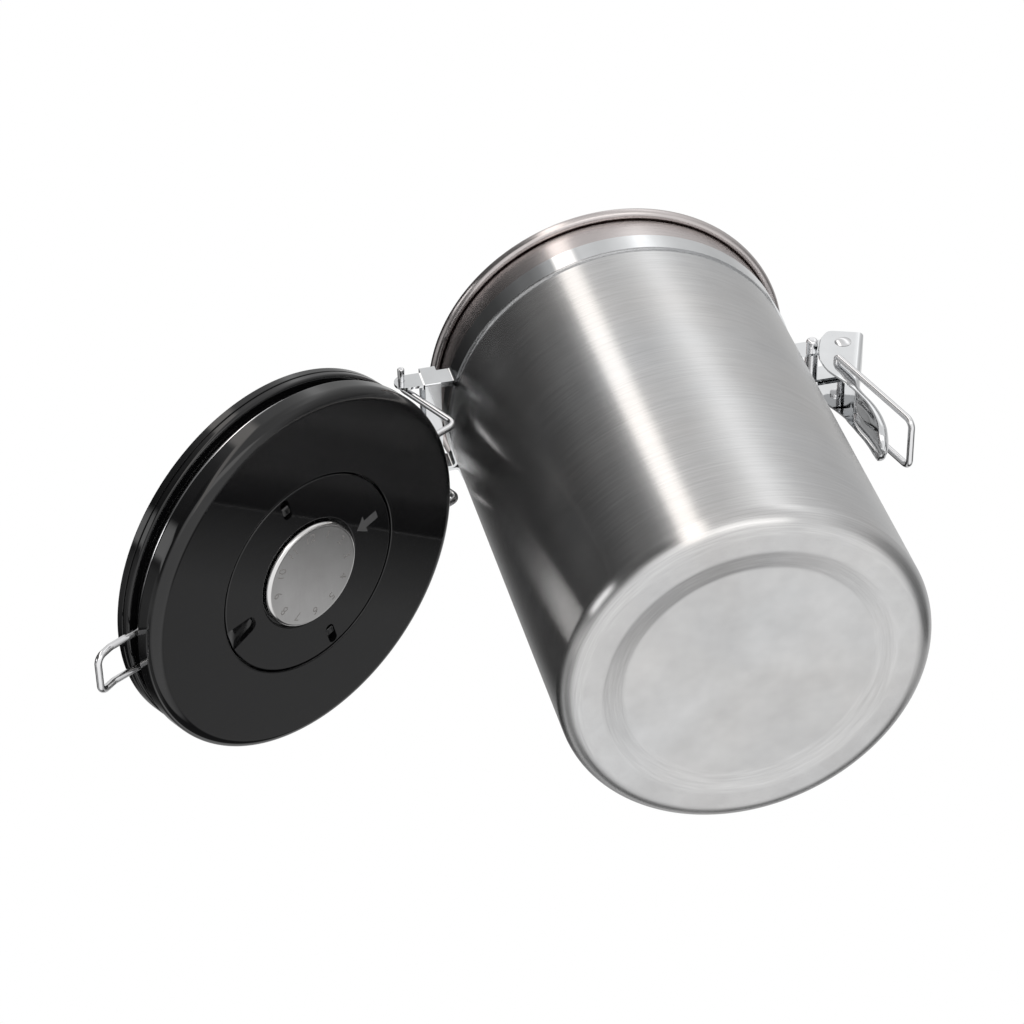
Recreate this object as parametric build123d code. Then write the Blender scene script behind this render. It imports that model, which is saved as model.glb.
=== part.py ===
from build123d import *
import math
import os

# Stainless storage canister with a wire-hinged lid, a date dial, a one-way valve and a swing latch.
# Frame: +Z up, origin at the centre of the face it stands on, hinge at -X, latch at +X. Millimetres.
# The lid is drawn closed and then turned open about the hinge pins; the latch is drawn lever down.

# ---- driving dimensions ----
BODY_R = 61.5            # outside radius of the can
BODY_TOP = 176.3         # top of the rolled rim
SHEET = 0.6              # can wall
NECK_R = 61.1            # outside radius of the neck above the band
BASE_FILLET = 7.2
RECESS_R = 45.0          # pressed disc in the base
RECESS_DEPTH = 1.4
CURL_R = 1.9             # radius of the rolled rim

BAND_Z = (153.7, 161.3)  # lower and upper edge of the neck band
BAND_T = 0.95
BAND_MID_R = 61.62       # middle of the band's thickness
BEND_R = 1.8             # bend radius of every strap, at mid thickness
HINGE_EAR_Y = 18.5       # mid plane of the hinge ears
BRIDGE_EAR_Y = 17.5
LATCH_EAR_Y = 5.8
EAR_REACH = (-79.6, 85.2)   # x of the ears' ends, at the hinge and at the latch

HINGE = (-76.9, 158.5)   # x and z of the lid's hinge line
LID_OPEN = 210.25        # opening angle of the drawn pose, degrees
LID_TOP = 196.6          # outer face of the closed lid
LID_R = 65.4
LID_EDGE = 4.0           # rounding of the lid's upper edge
COVER_T = 2.2
COVER_SIDE = 8.6         # depth of the cover's side wall
GROOVE_R = 60.9
SKIRT_R = 58.9
FLANGE_R = 64.9
FLANGE_TOP = LID_TOP - 13.4
FLANGE_BOTTOM = LID_TOP - 19.0
PLUG_R = 57.5
PLUG_TAPER_Z = 173.6     # where the plug starts to narrow towards its lower edge
PLUG_BOTTOM = 170.0
GASKET_R = (57.6, 63.6)
GASKET_BOTTOM = BODY_TOP + 0.15
BEAD_Z = 180.5           # middle of the shallow groove round the flange

DISC_R = 19.1            # month disc
DISC_TOP = LID_TOP + 1.7
RING_R = 35.7            # date ring
RING_BORE = 19.8
RING_TOP = LID_TOP - 0.1
RING_BOTTOM = LID_TOP - 3.3
RING_TURN = 14.4         # the ring's finger notch, degrees from the lid's front
DIAL_FLOOR = LID_TOP - 4.0

WIRE_R = 1.2             # radius of the lid wire and of the bail wire
WIRE_RING_R = 62.3
WIRE_Z = LID_TOP - 10.0
LOOP_Y = 7.0             # half spacing of the front loop's legs
LOOP_X = 81.0
LOOP_Z = 188.2
LOOP_BEND_X = 74.6       # where the loop's legs turn up
LEG_Y = 15.7             # half spacing of the hinge legs
PIN_END_Y = 24.0

PIVOT = (80.9, 156.3)    # x and z of the lever's rivet
LEVER_TILT = 21.2        # lean of the lever, degrees
CHEEK_Y = (6.6, 7.5)     # inner and outer face of the lever's cheeks
WEB_OUT = 6.9            # outer face of the lever's web, measured out from the pivot
PAD_UP = -32.0           # middle of the raised pad on the spoon, along the lever
PAD_SIZE = (3.2, 5.6)    # its half width and half length
BAIL_PIVOT = (-1.5, -12.0)   # out and up from the rivet, along the lever
BAIL_LEAN = 15.9         # lean of the hanging bail away from the can, degrees
BAIL_LENGTH = 45.4
BAIL_Y = 9.6             # half spacing of the bail's legs
BAIL_END_Y = 5.7         # inner end of the bail's peened tips
CLAMP_PIN_X = 69.9

VALVE_SEAT_Z = 181.0     # upper face of the lid base's plate
PLATE_BOTTOM_Z = 178.7
FLAP_LIFT = 0.8
SCREW_PITCH_R = 47.0
SCREW_COUNT = 4

HINGE_AXIS = Axis((HINGE[0], 0, HINGE[1]), (0, 1, 0))


# ---- helpers ----
def turned(*edges):
    """A solid of revolution about Z from edges drawn in the XZ plane."""
    return revolve(Plane.XZ * make_face(edges), Axis.Z)


def turned_outline(*points):
    """A solid of revolution from straight runs of (radius, z)."""
    return turned(*Polyline(*points, close=True).edges())


def ring(inner, outer, low, high):
    """A plain ring or, with inner 0, a plain disc."""
    blank = Pos(0, 0, low) * extrude(Circle(outer), high - low)
    if inner > 0:
        blank -= Pos(0, 0, low - 1) * extrude(Circle(inner), high - low + 2)
    return blank


def bar_y(x, z, radius, low, high):
    """A round bar along Y."""
    return Pos(x, low, z) * Rot(-90, 0, 0) * extrude(Circle(radius), high - low)


def side_prism(outline, half_width):
    """An outline drawn in the XZ plane, thickened to both sides of Y = 0."""
    return extrude(Plane.XZ * outline, half_width, both=True)


def polar(radius, angle):
    """A point in the XY plane."""
    return (radius * math.cos(math.radians(angle)), radius * math.sin(math.radians(angle)))


def lever_xz(out, up):
    """A point beside the lever, measured from its rivet, as (x, z)."""
    tilt = math.radians(LEVER_TILT)
    x = PIVOT[0] + out * math.cos(tilt) + up * math.sin(tilt)
    z = PIVOT[1] - out * math.sin(tilt) + up * math.cos(tilt)
    return (x, z)


def opened(part):
    """Turn a piece of the closed lid to the drawn open pose."""
    return part.rotate(HINGE_AXIS, -LID_OPEN)


# ---- can ----
def canister_body():
    outer = FilletPolyline(
        (0, RECESS_DEPTH), (RECESS_R - 1.0, RECESS_DEPTH), (RECESS_R + 1.4, 0), (BODY_R, 0),
        (BODY_R, BAND_Z[0] - 1.6), (NECK_R, BAND_Z[0] - 0.4), (NECK_R, BODY_TOP - CURL_R),
        radius=[2.2, 2.2, BASE_FILLET, 1.5, 1.5],
    )
    inner = FilletPolyline(
        (0, RECESS_DEPTH + SHEET), (RECESS_R - 1.2, RECESS_DEPTH + SHEET),
        (RECESS_R + 1.2, SHEET), (BODY_R - SHEET, SHEET), (BODY_R - SHEET, BAND_Z[0] - 1.6),
        (NECK_R - SHEET, BAND_Z[0] - 0.4), (NECK_R - SHEET, BODY_TOP - CURL_R),
        radius=[2.2, 2.2, BASE_FILLET - SHEET, 1.5, 1.5],
    )
    wall = turned(
        *outer.edges(), Line(outer @ 1, inner @ 1), *inner.edges(), Line(inner @ 0, outer @ 0)
    )
    centre = (NECK_R - SHEET + CURL_R, BODY_TOP - CURL_R)
    reach = 2 * CURL_R
    slit = Polyline((0, 0), (-reach, -0.35), (-reach, -reach), (-0.6, -reach), close=True)
    curl = Circle(CURL_R) - Circle(CURL_R - SHEET) - make_face(slit)
    return wall + revolve(Plane.XZ * Pos(*centre) * curl, Axis.Z)


# ---- straps round the neck ----
def strap_side(shift, ears, bend_sign):
    """One face of a strap, from one ear's end to the neck and from the neck to the other ear's end.

    ears is a pair of (x of the ear's end, y of its mid plane, side of the can). Also gives, for
    each ear, where it meets the neck and where it ends."""
    radius = BAND_MID_R + shift
    edges = []
    tips = []
    for x_end, y_mid, side in ears:
        hand = math.copysign(1, y_mid)
        bend = BEND_R - shift
        centre_y = abs(y_mid) + bend_sign * BEND_R
        centre_x = math.sqrt((BAND_MID_R + BEND_R) ** 2 - centre_y ** 2)
        angle = math.atan2(hand * centre_y, side * centre_x)
        on_neck = (radius * math.cos(angle), radius * math.sin(angle))
        on_ear = (side * centre_x, hand * (abs(y_mid) + bend_sign * shift))
        centre = (side * centre_x, hand * centre_y)
        to_neck = angle + math.pi
        to_ear = math.atan2(on_ear[1] - centre[1], 0)
        half = math.atan2(
            math.sin(to_neck) + math.sin(to_ear), math.cos(to_neck) + math.cos(to_ear)
        )
        middle = (centre[0] + bend * math.cos(half), centre[1] + bend * math.sin(half))
        end = (x_end, on_ear[1])
        edges.append(Line(end, on_ear))
        edges.append(ThreePointArc(on_ear, middle, on_neck))
        tips.append((on_neck, end))
    return edges, tips


def strap(ears, bend_sign, around):
    """A strap of even thickness; around is the angle of the middle of its run, in degrees."""
    faces = []
    ends = []
    for shift in (-BAND_T / 2, BAND_T / 2):
        edges, tips = strap_side(shift, ears, bend_sign)
        middle = polar(BAND_MID_R + shift, around)
        edges.append(ThreePointArc(tips[0][0], middle, tips[1][0]))
        faces += edges
        ends.append([tips[0][1], tips[1][1]])
    caps = [Line(ends[0][k], ends[1][k]) for k in range(2)]
    blank = extrude(make_face([*faces, *caps]), BAND_Z[1] - BAND_Z[0])
    return Pos(0, 0, BAND_Z[0]) * blank


def neck_band(hand):
    """Half of the neck band, with an ear at the hinge and one at the latch."""
    ears = [(EAR_REACH[0], hand * HINGE_EAR_Y, -1), (EAR_REACH[1], hand * LATCH_EAR_Y, 1)]
    blank = strap(ears, 1, hand * 90)
    length = EAR_REACH[1] - EAR_REACH[0]
    height = BAND_Z[1] - BAND_Z[0]
    middle = (EAR_REACH[0] + length / 2, BAND_Z[0] + height / 2)
    outline = Pos(*middle) * RectangleRounded(length, height, height / 2 - 0.02)
    holes = bar_y(*HINGE, WIRE_R + 0.06, -40, 40)
    holes += bar_y(*PIVOT, 1.5, -20, 20)
    holes += bar_y(CLAMP_PIN_X, sum(BAND_Z) / 2, 1.5, -20, 20)
    return (blank & side_prism(outline, 80)) - holes


def hinge_bridge():
    """Short strap that closes the band between the hinge ears."""
    ears = [(-70.6, -BRIDGE_EAR_Y, -1), (-70.6, BRIDGE_EAR_Y, -1)]
    return strap(ears, -1, 180)


def hinge_keeper():
    """Flat loop that holds the ears and the bridge together."""
    inner_y = HINGE_EAR_Y + BAND_T / 2 + 0.05
    height = BAND_Z[1] - BAND_Z[0]
    wall = 1.1
    loop = Rectangle(2 * inner_y + 2 * wall, height + 0.7 + 2 * wall)
    loop = fillet(loop.vertices(), 0.8) - RectangleRounded(2 * inner_y, height + 0.7, 0.3)
    return extrude(Plane((-69.9, 0, sum(BAND_Z) / 2), x_dir=(0, 1, 0), z_dir=(1, 0, 0)) * loop, 5.5)


# ---- fixed pieces of the latch ----
def clamp_pin():
    """Pin that pulls the latch ears together, with rounded heads."""
    z = sum(BAND_Z) / 2
    face = LATCH_EAR_Y + BAND_T / 2
    tip = 9.8
    pin = bar_y(CLAMP_PIN_X, z, 1.45, -face, face)
    for hand in (-1, 1):
        low, high = sorted((hand * face, hand * tip))
        head = bar_y(CLAMP_PIN_X, z, 2.05, low, high)
        crown = head.faces().sort_by(Axis.Y)[-1 if hand > 0 else 0]
        pin += fillet(crown.edges(), 1.2)
    return pin


def clamp_spacer():
    half = LATCH_EAR_Y - BAND_T / 2
    z = sum(BAND_Z) / 2
    return bar_y(CLAMP_PIN_X, z, 2.4, -half, half) - bar_y(CLAMP_PIN_X, z, 1.5, -20, 20)


def lever_rivet():
    """Axle of the lever, with a low dome outside each cheek."""
    head_face = CHEEK_Y[1] + 0.08
    rivet = bar_y(*PIVOT, 1.45, -head_face, head_face)
    dome_r = 2.9
    dome_h = 0.75
    for hand in (-1, 1):
        low, high = sorted((hand * head_face, hand * (head_face + dome_h)))
        head = bar_y(*PIVOT, dome_r, low, high)
        crown = head.faces().sort_by(Axis.Y)[-1 if hand > 0 else 0]
        rivet += fillet(crown.edges(), dome_h - 0.05)
    return rivet


# ---- lid, drawn closed ----
def lid_cover():
    underside = LID_TOP - COVER_T
    skirt_low = FLANGE_TOP
    side_low = LID_TOP - COVER_SIDE
    recess_r = RING_R + 0.6
    boss_r = DISC_R - 0.7
    boss_top = DISC_TOP - 0.65
    outer = FilletPolyline(
        (recess_r, LID_TOP), (LID_R, LID_TOP), (LID_R, side_low), (GROOVE_R, side_low),
        (GROOVE_R, skirt_low), (SKIRT_R, skirt_low),
        radius=[LID_EDGE, 0.9, 0.6, 0.4],
    )
    inner = Polyline(
        (SKIRT_R, skirt_low), (SKIRT_R, underside), (recess_r + 1.6, underside),
        (recess_r + 1.6, DIAL_FLOOR - 1.6), (boss_r - 1.6, DIAL_FLOOR - 1.6),
        (boss_r - 1.6, boss_top - 1.6), (0, boss_top - 1.6), (0, boss_top),
        (boss_r - 1.0, boss_top), (boss_r, boss_top - 1.0), (boss_r, DIAL_FLOOR),
        (recess_r, DIAL_FLOOR), (recess_r, LID_TOP),
    )
    cover = turned(*outer.edges(), *inner.edges())
    vents = [Pos(*polar(8, 60 * k), boss_top - 3) * extrude(Circle(0.8), 5) for k in range(6)]
    for vent in vents:
        cover -= vent
    for k in range(SCREW_COUNT):
        x, y = polar(SCREW_PITCH_R, 45 + 360 * k / SCREW_COUNT)
        post = Pos(x, y, VALVE_SEAT_Z) * extrude(Circle(3.4), underside - VALVE_SEAT_Z + 0.2)
        pilot = Pos(x, y, VALVE_SEAT_Z - 1) * extrude(Circle(1.55), 10)
        cover = cover + post - pilot
    return cover


def lid_base():
    wall = 2.2
    outline = (
        (0, PLATE_BOTTOM_Z), (PLUG_R - wall, PLATE_BOTTOM_Z), (PLUG_R - wall, PLUG_TAPER_Z),
        (PLUG_R - wall - 1.9, PLUG_BOTTOM), (PLUG_R - 2.0, PLUG_BOTTOM), (PLUG_R, PLUG_TAPER_Z),
        (PLUG_R, PLATE_BOTTOM_Z), (FLANGE_R - 1.0, PLATE_BOTTOM_Z),
        (FLANGE_R - 1.0, FLANGE_BOTTOM), (FLANGE_R, FLANGE_BOTTOM), (FLANGE_R, BEAD_Z - 0.4),
        (FLANGE_R - 0.5, BEAD_Z - 0.2), (FLANGE_R - 0.5, BEAD_Z + 0.2), (FLANGE_R, BEAD_Z + 0.4),
        (FLANGE_R, FLANGE_TOP), (SKIRT_R - 1.0, FLANGE_TOP), (SKIRT_R - 1.0, VALVE_SEAT_Z),
        (0, VALVE_SEAT_Z),
    )
    base = turned_outline(*outline)
    corner = base.edges().filter_by(GeomType.CIRCLE).filter_by(
        lambda e: abs(e.radius - FLANGE_R) < 0.01 and abs(e.center().Z - FLANGE_TOP) < 0.01
    )
    base = fillet(corner, 1.0)
    for k in range(6):
        base -= Pos(*polar(5.0, 60 * k), PLATE_BOTTOM_Z - 1) * extrude(Circle(1.5), 5)
    for k in range(SCREW_COUNT):
        x, y = polar(SCREW_PITCH_R, 45 + 360 * k / SCREW_COUNT)
        base -= Pos(x, y, PLATE_BOTTOM_Z - 1) * extrude(Circle(1.6), 5)
    return base


def lid_gasket():
    inner, outer = GASKET_R
    lip = 0.5
    gasket = turned_outline(
        (inner, PLATE_BOTTOM_Z), (inner, GASKET_BOTTOM + lip), (inner + lip, GASKET_BOTTOM),
        (outer - lip, GASKET_BOTTOM), (outer, GASKET_BOTTOM + lip), (outer, PLATE_BOTTOM_Z),
    )
    return gasket


def lid_screws():
    screws = None
    for k in range(SCREW_COUNT):
        x, y = polar(SCREW_PITCH_R, 45 + 360 * k / SCREW_COUNT)
        head = extrude(Circle(2.8), 1.8)
        head = fillet(head.edges().sort_by(Axis.Z)[0], 0.8)
        for turn in (0, 90):
            head -= Rot(0, 0, turn) * Box(3.2, 0.7, 1.6)
        shank = Pos(0, 0, 1.8) * extrude(Circle(1.45), 8.6)
        screw = Pos(x, y, PLATE_BOTTOM_Z - 1.8) * (head + shank)
        screws = screw if screws is None else screws + screw
    return screws


def lid_wire():
    """One wire: hinge pins, hinge legs, the ring in the lid's groove and the front loop."""
    def junction(leg_y, side):
        centre_y = leg_y + BEND_R
        centre_x = math.sqrt((WIRE_RING_R + BEND_R) ** 2 - centre_y ** 2)
        angle = math.atan2(centre_y, centre_x)
        on_ring = (side * WIRE_RING_R * math.cos(angle), WIRE_RING_R * math.sin(angle))
        diagonal = math.sqrt(0.5 * (1 - math.sin(angle)))
        across = math.sqrt(0.5 * (1 + math.sin(angle)))
        middle = (side * (centre_x - BEND_R * diagonal), centre_y - BEND_R * across)
        return (side * centre_x, leg_y), middle, on_ring

    edges = []
    start, bend, on_ring_front = junction(LOOP_Y, 1)
    loop = FilletPolyline(
        (start[0], -LOOP_Y, WIRE_Z), (LOOP_BEND_X, -LOOP_Y, WIRE_Z), (LOOP_X, -LOOP_Y, LOOP_Z),
        (LOOP_X, LOOP_Y, LOOP_Z), (LOOP_BEND_X, LOOP_Y, WIRE_Z), (start[0], LOOP_Y, WIRE_Z),
        radius=[5.0, 2.8, 2.8, 5.0],
    )
    edges += loop.edges()
    rear_start, rear_bend, on_ring_rear = junction(LEG_Y, -1)
    for hand in (-1, 1):
        def at(point, hand=hand):
            return (point[0], hand * point[1], WIRE_Z)
        edges.append(ThreePointArc(at(start), at(bend), at(on_ring_front)))
        edges.append(ThreePointArc(at(on_ring_front), at((0, WIRE_RING_R)), at(on_ring_rear)))
        edges.append(ThreePointArc(at(on_ring_rear), at(rear_bend), at(rear_start)))
        leg = FilletPolyline(
            at(rear_start), at((HINGE[0] + 1.2, LEG_Y)),
            (HINGE[0], hand * LEG_Y, HINGE[1]), (HINGE[0], hand * PIN_END_Y, HINGE[1]),
            radius=[3.0, 1.9],
        )
        edges += leg.edges()
    path = Wire(edges)
    section = Plane(path @ 0, z_dir=path % 0) * Circle(WIRE_R)
    wire = sweep(section, path=path)
    tips = wire.faces().filter_by(GeomType.PLANE)
    return fillet(tips.edges(), 0.5)


# ---- date dial, drawn closed ----
def month_disc():
    """Drawn steel cap with a rolled edge."""
    cap = turned(*FilletPolyline(
        (0, DISC_TOP), (DISC_R, DISC_TOP), (DISC_R, LID_TOP - 0.7),
        (DISC_R - 0.5, LID_TOP - 0.7), (DISC_R - 0.5, DISC_TOP - 0.6), (0, DISC_TOP - 0.6),
        radius=[1.3, 0.2, 0.2, 0.7],
    ).edges(), Line((0, DISC_TOP - 0.6), (0, DISC_TOP)))
    return cap


def day_plate():
    """Thin printed plate under the date ring."""
    return ring(DISC_R - 0.5, RING_R + 0.3, DIAL_FLOOR, DIAL_FLOOR + 0.4)


def ring_frame():
    """Turns what is drawn about the notch's own line to where the ring is set."""
    return Rot(0, 0, RING_TURN)


def date_ring():
    lip_top = LID_TOP - 1.0
    bore = DISC_R - 0.3
    blank = turned_outline(
        (bore, RING_BOTTOM), (RING_R, RING_BOTTOM), (RING_R, RING_TOP), (RING_BORE, RING_TOP),
        (RING_BORE, lip_top), (bore, lip_top),
    )
    rims = blank.edges().filter_by(GeomType.CIRCLE).filter_by(
        lambda e: abs(e.center().Z - RING_TOP) < 0.01
    )
    blank = fillet(rims, 0.35)
    depth = 6.0
    # finger notch, open to the rim
    notch = make_face([
        *FilletPolyline(
            (RING_R + 4, -4.6), (RING_R - 1.0, -4.3), (24.8, -2.7), (24.8, 2.7),
            (RING_R - 1.0, 4.0), (RING_R + 4, 4.4), radius=[1.2, 2.6, 2.6, 1.2],
        ).edges(),
        Line((RING_R + 4, 4.4), (RING_R + 4, -4.6)),
    ])
    cutter = Pos(0, 0, RING_TOP - 2.3) * extrude(notch, depth)
    # snap slots, one either side
    for turn in (90, 270):
        slot = Pos(31.0, 0) * SlotOverall(8.2, 3.4)
        cutter += Rot(0, 0, turn) * Pos(0, 0, RING_BOTTOM - 1) * extrude(slot, depth)
    carved = blank - cutter
    # snap hook in each slot
    for turn in (90, 270):
        hook = Plane.XZ * make_face(Polyline(
            (29.4, RING_BOTTOM), (30.4, RING_BOTTOM), (31.6, RING_TOP - 0.9), (28.6, RING_TOP - 0.3),
            (28.2, RING_TOP - 0.7), (29.4, RING_TOP - 1.2), close=True))
        tongue = extrude(hook, 1.0, both=True)
        bridge = Pos(29.9, 0, RING_BOTTOM + 0.4) * Box(1.0, 3.6, 0.8)
        carved += Rot(0, 0, turn) * (tongue + bridge)
    carved -= arrow_blank()
    return ring_frame() * carved


def arrow_blank():
    """Arrow on the side opposite the notch, pointing at the disc."""
    tip = -22.0
    neck = -25.8
    tail = -31.2
    outline = Polyline(
        (tip, 0), (neck, 3.7), (neck, 1.65), (tail, 1.65), (tail, -1.65), (neck, -1.65),
        (neck, -3.7), close=True,
    )
    return Pos(0, 0, RING_TOP - 0.2) * extrude(make_face(outline), 0.2)


def date_arrow():
    return ring_frame() * arrow_blank()


# ---- one-way valve in the lid base, drawn closed ----
def valve_hood():
    """Cage that keeps the flap over its seat and lets the gas out sideways."""
    hood = turned_outline(
        (10.6, VALVE_SEAT_Z), (12.0, VALVE_SEAT_Z), (12.0, VALVE_SEAT_Z + 4.2), (0, VALVE_SEAT_Z + 4.2),
        (0, VALVE_SEAT_Z + 2.9), (10.6, VALVE_SEAT_Z + 2.9),
    )
    for k in range(4):
        hood -= Rot(0, 0, 90 * k + 45) * Pos(11.3, 0, VALVE_SEAT_Z + 2.0) * Box(4, 4, 1.6)
    return hood


def valve_flap():
    """Silicone disc that lifts off its seat to let gas out."""
    low = VALVE_SEAT_Z + 0.05
    flap = ring(0, 9.6, low, low + 0.8)
    return flap + ring(0, 2.0, low + 0.8, low + 1.3)


def valve_filter():
    return ring(0, 10.8, PLATE_BOTTOM_Z - 1.3, PLATE_BOTTOM_Z)


def valve_cap():
    """Perforated cup that holds the filter under the lid."""
    cup = turned_outline(
        (0, PLATE_BOTTOM_Z - 2.6), (12.2, PLATE_BOTTOM_Z - 2.6), (13.0, PLATE_BOTTOM_Z - 1.8),
        (13.0, PLATE_BOTTOM_Z), (11.0, PLATE_BOTTOM_Z), (11.0, PLATE_BOTTOM_Z - 1.4),
        (0, PLATE_BOTTOM_Z - 1.4),
    )
    for radius, count in ((3.4, 6), (7.2, 12)):
        for k in range(count):
            cup -= Pos(*polar(radius, 360 * k / count), PLATE_BOTTOM_Z - 4) * extrude(Circle(0.8), 4)
    return cup


# ---- latch ----
def latch_lever():
    """Channel-shaped lever whose web runs down into a thumb spoon."""
    cheek = make_face([
        *FilletPolyline(
            lever_xz(WEB_OUT + 1.2, -28.2), lever_xz(WEB_OUT + 1.2, 6.5), lever_xz(-5.8, 6.8),
            lever_xz(-7.8, 0.2), radius=[1.0, 3.0],
        ).edges(),
        Spline(
            lever_xz(-7.8, 0.2), lever_xz(-7.6, -10.0), lever_xz(-4.2, -17.6),
            lever_xz(1.6, -23.4), lever_xz(WEB_OUT + 1.2, -28.2),
        ),
    ])
    tilt = math.radians(LEVER_TILT)
    low_x, low_z = lever_xz(0, -32.0)
    across = Plane(
        (low_x, 0, low_z), x_dir=(math.cos(tilt), 0, -math.sin(tilt)),
        z_dir=(math.sin(tilt), 0, math.cos(tilt)),
    )
    sheet = CHEEK_Y[1] - CHEEK_Y[0]
    deep = 40
    outer = Pos(WEB_OUT - deep / 2, 0) * RectangleRounded(deep, 2 * CHEEK_Y[1], 1.7)
    inner = Pos(WEB_OUT - sheet - deep / 2, 0) * RectangleRounded(deep, 2 * CHEEK_Y[0], 0.8)
    mouth = Pos(-20, 0) * Rectangle(20, 2 * CHEEK_Y[1] + 2)
    channel = extrude(across * (outer - inner - mouth), 42)
    lever = channel & side_prism(cheek, 12)
    lever += lever_spoon()
    lever -= side_prism(Pos(*lever_xz(WEB_OUT, -4.0)) * Circle(0.9), 1.6)
    lever -= bar_y(*PIVOT, 1.5, -20, 20)
    lever -= bar_y(*lever_xz(*BAIL_PIVOT), WIRE_R + 0.05, -20, 20)
    return lever


def lever_spoon():
    """Thumb tab: a curved plate cut to an oval, with a raised oval pad."""
    run = ((6.45, -22.0), (6.9, -26.0), (9.6, -31.0), (13.2, -37.0), (16.0, -43.5), (17.5, -49.0),
           (17.2, -52.2), (16.2, -54.2))
    half = 0.5
    lines = [Spline(*[lever_xz(o + s * half, t) for o, t in run]) for s in (-1, 1)]
    plate = make_face([
        *lines, Line(lines[0] @ 0, lines[1] @ 0), Line(lines[0] @ 1, lines[1] @ 1),
    ])
    tilt = math.radians(LEVER_TILT)
    front = Plane(
        (PIVOT[0], 0, PIVOT[1]), x_dir=(0, 1, 0),
        z_dir=(math.cos(tilt), 0, -math.sin(tilt)),
    )
    side = ((7.5, -21.5), (7.9, -26.0), (8.5, -33.0), (8.4, -41.0), (7.1, -47.5), (4.4, -51.9))
    rim = Spline(*side, (0, -53.8), *[(-y, t) for y, t in reversed(side)])
    outline = make_face([rim, Line(rim @ 1, rim @ 0)])
    shape = extrude(front * outline, 40, both=True)
    pad = extrude(front * Pos(0, PAD_UP) * Ellipse(*PAD_SIZE), 40, both=True)
    raised = side_prism(make_face([
        *[Spline(*[lever_xz(o + s, t) for o, t in run]) for s in (-1.1, 0)],
        Line(lever_xz(run[0][0] - 1.1, run[0][1]), lever_xz(*run[0])),
        Line(lever_xz(run[-1][0] - 1.1, run[-1][1]), lever_xz(*run[-1])),
    ]), 12)
    return (side_prism(plate, 12) & shape) + (raised & pad)


def latch_bail():
    """U of wire that hooks over the lid's front loop."""
    x0, z0 = lever_xz(*BAIL_PIVOT)
    lean = math.radians(BAIL_LEAN)
    x1 = x0 + BAIL_LENGTH * math.sin(lean)
    z1 = z0 - BAIL_LENGTH * math.cos(lean)
    path = FilletPolyline(
        (x0, -BAIL_END_Y, z0), (x0, -BAIL_Y, z0), (x1, -BAIL_Y, z1), (x1, BAIL_Y, z1),
        (x0, BAIL_Y, z0), (x0, BAIL_END_Y, z0), radius=[1.5, 3.0, 3.0, 1.5],
    )
    section = Plane(path @ 0, z_dir=path % 0) * Circle(WIRE_R)
    bail = sweep(section, path=path)
    for hand in (-1, 1):
        low, high = sorted((hand * BAIL_END_Y, hand * (CHEEK_Y[0] - 0.1)))
        bail += bar_y(x0, z0, 1.9, low, high)
    return bail


NODES = {
    "canister_body": canister_body(),
    "neck_band_front": neck_band(-1),
    "neck_band_rear": neck_band(1),
    "hinge_bridge": hinge_bridge(),
    "hinge_keeper": hinge_keeper(),
    "clamp_pin": clamp_pin(),
    "clamp_spacer": clamp_spacer(),
    "lever_rivet": lever_rivet(),
    "lid_cover": opened(lid_cover()),
    "lid_base": opened(lid_base()),
    "lid_gasket": opened(lid_gasket()),
    "lid_screws": opened(lid_screws()),
    "lid_wire": opened(lid_wire()),
    "month_disc": opened(month_disc()),
    "day_plate": opened(day_plate()),
    "date_ring": opened(date_ring()),
    "date_arrow": opened(date_arrow()),
    "valve_hood": opened(valve_hood()),
    "valve_flap": opened(valve_flap()),
    "valve_filter": opened(valve_filter()),
    "valve_cap": opened(valve_cap()),
    "latch_lever": latch_lever(),
    "latch_bail": latch_bail(),
}

os.makedirs("parts", exist_ok=True)
for name, part in NODES.items():
    export_step(part, f"parts/{name}.step")
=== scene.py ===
import math

import bpy
from mathutils import Euler, Matrix, Vector


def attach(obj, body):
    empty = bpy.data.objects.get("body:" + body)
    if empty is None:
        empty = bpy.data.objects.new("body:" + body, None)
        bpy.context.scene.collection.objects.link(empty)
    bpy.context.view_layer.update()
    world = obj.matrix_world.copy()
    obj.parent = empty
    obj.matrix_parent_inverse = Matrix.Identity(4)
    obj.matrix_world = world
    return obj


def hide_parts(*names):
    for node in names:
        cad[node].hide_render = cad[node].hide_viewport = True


# Stainless canister with an open black lid. Shapes are drawn in millimetres, with the lid closed,
# and each lid piece is then set at the opening angle of the frame.

MM = 0.001
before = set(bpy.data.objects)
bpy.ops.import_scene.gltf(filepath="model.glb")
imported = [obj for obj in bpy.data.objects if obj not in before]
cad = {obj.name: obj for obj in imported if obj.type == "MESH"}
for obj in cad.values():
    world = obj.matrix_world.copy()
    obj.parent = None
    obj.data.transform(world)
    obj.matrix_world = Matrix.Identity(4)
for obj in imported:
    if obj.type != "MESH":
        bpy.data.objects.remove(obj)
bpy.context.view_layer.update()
scene = bpy.context.scene

# the can
CAN_R = 61.5
NECK_R = 61.1
SHEET = 0.6
SHOULDER_Z = 152.1
CURL_R = 1.9
CURL_AT = (62.4, 174.4)
BASE_RECESS = 1.4

# the lid, closed
HINGE_X, HINGE_Z = -76.9, 158.5
LID_OPEN = 210.25
LID_TOP = 196.6
SEAT_Z = 178.7
DISC_TOP = LID_TOP + 1.7
DISC_R = 19.1
RING_TURN = 14.4
HOOK_TURNS = (90, 270)
WIRE_R = 1.2

# the latch
LEVER_PIVOT = (80.9, 156.3)
LEVER_TILT = math.radians(21.2)

# from the closed lid to the drawn, open one
HINGE = Vector((HINGE_X * MM, 0, HINGE_Z * MM))
OPENED = (
    Matrix.Translation(HINGE)
    @ Matrix.Rotation(math.radians(-LID_OPEN), 4, "Y")
    @ Matrix.Translation(-HINGE)
)


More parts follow.
